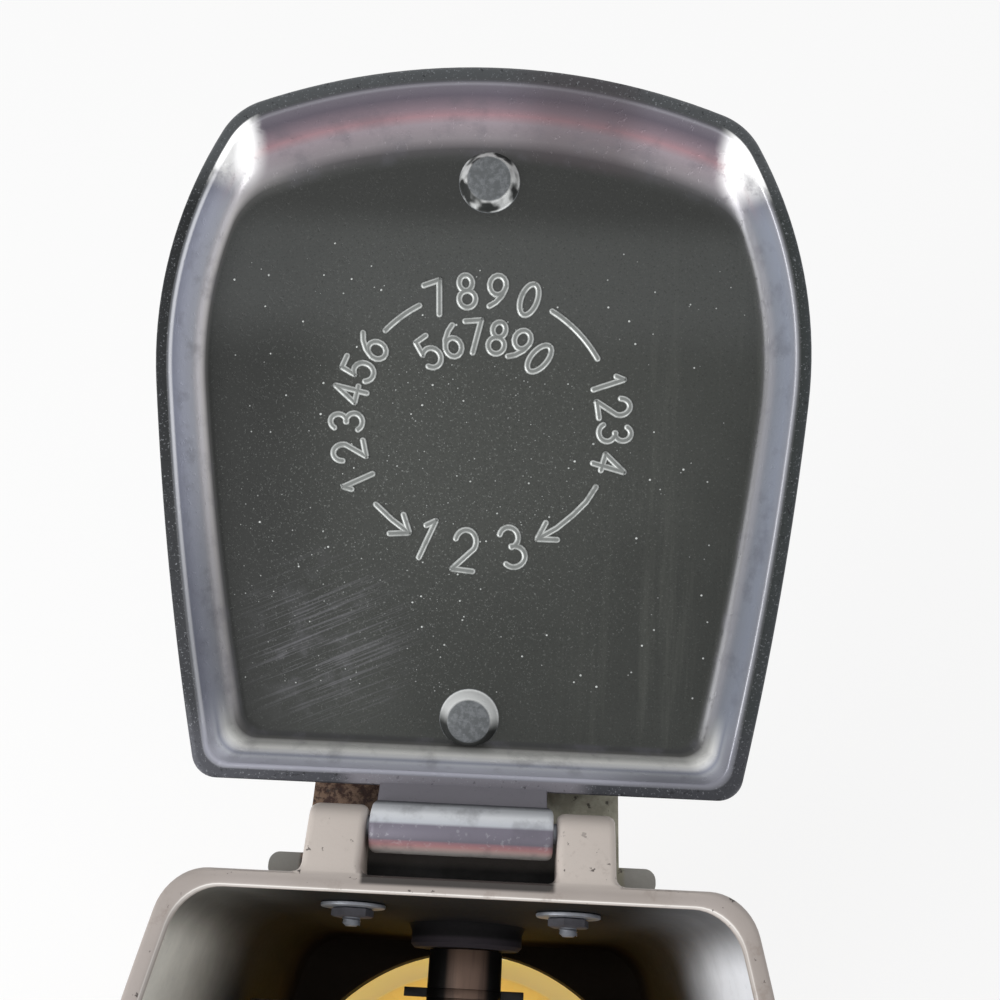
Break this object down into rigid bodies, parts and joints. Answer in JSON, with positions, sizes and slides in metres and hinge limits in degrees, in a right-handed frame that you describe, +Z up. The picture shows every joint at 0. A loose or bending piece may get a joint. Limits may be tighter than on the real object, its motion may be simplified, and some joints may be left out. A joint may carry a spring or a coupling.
{
  "type": "hand crank ice crusher",
  "caption": "Wall-hung hand crank ice crusher: cast hopper with hinged lid, bladed rotor between fixed combs, crank with knob and a cup that slides in below.",
  "frame": {"origin": "on the wall, midway between the two wall screws of the bracket", "axes": "+Z up, +Y into the wall, +X to the right as seen from the front"},
  "size_m": [0.17, 0.3424, 0.273],
  "materials": {
    "paint": "warm grey enamel",
    "plating": "polished plating",
    "bracket_steel": "dull, specked with rust",
    "zinc": "zinc plated",
    "tool_steel": "worn, brown in places",
    "bronze": "sintered",
    "knob_plastic": "moulded",
    "cup_plastic": "moulded"
  },
  "bodies": {
    "frame": {"hopper_body": "paint", "wall_bracket": "bracket_steel", "bracket_screws": "zinc", "bracket_washers": "zinc", "bracket_nuts": "zinc", "hinge_pin": "zinc", "rear_bush": "bronze", "front_bush": "bronze", "thrust_washer": "bronze", "coarse_comb": "tool_steel", "fine_comb": "tool_steel", "comb_screws": "zinc"},
    "lid": {"lid": "plating"},
    "rotor": {"rotor_shaft": "tool_steel", "rotor_blade_1": "tool_steel", "rotor_blade_2": "tool_steel", "rotor_blade_3": "tool_steel", "rotor_blade_4": "tool_steel", "rotor_blade_5": "tool_steel", "rotor_blade_6": "tool_steel", "rotor_spacer_1": "tool_steel", "rotor_spacer_2": "tool_steel", "rotor_spacer_3": "tool_steel", "rotor_spacer_4": "tool_steel", "rotor_spacer_5": "tool_steel", "rotor_spacer_6": "tool_steel", "crank_arm": "plating", "crank_nut": "plating", "knob_spindle": "zinc"},
    "knob": {"crank_knob": "knob_plastic"},
    "cup": {"ice_cup": "cup_plastic"}
  },
  "joints": [
    {"name": "lid_hinge", "type": "hinge", "parent": "frame", "child": "lid", "pos_m": [0, -0.0245, 0.0325], "axis": [1, 0, 0], "range_deg": [0, 150]},
    {"name": "crank_spin", "type": "hinge", "parent": "frame", "child": "rotor", "pos_m": [0, -0.176, -0.028], "axis": [0, -1, 0], "continuous": true},
    {"name": "knob_spin", "type": "hinge", "parent": "rotor", "child": "knob", "pos_m": [0.092, -0.21, -0.028], "axis": [0, -1, 0], "continuous": true},
    {"name": "cup_slide", "type": "slide", "parent": "frame", "child": "cup", "axis": [0, -1, 0], "range_m": [0, 0.11]}
  ]
}
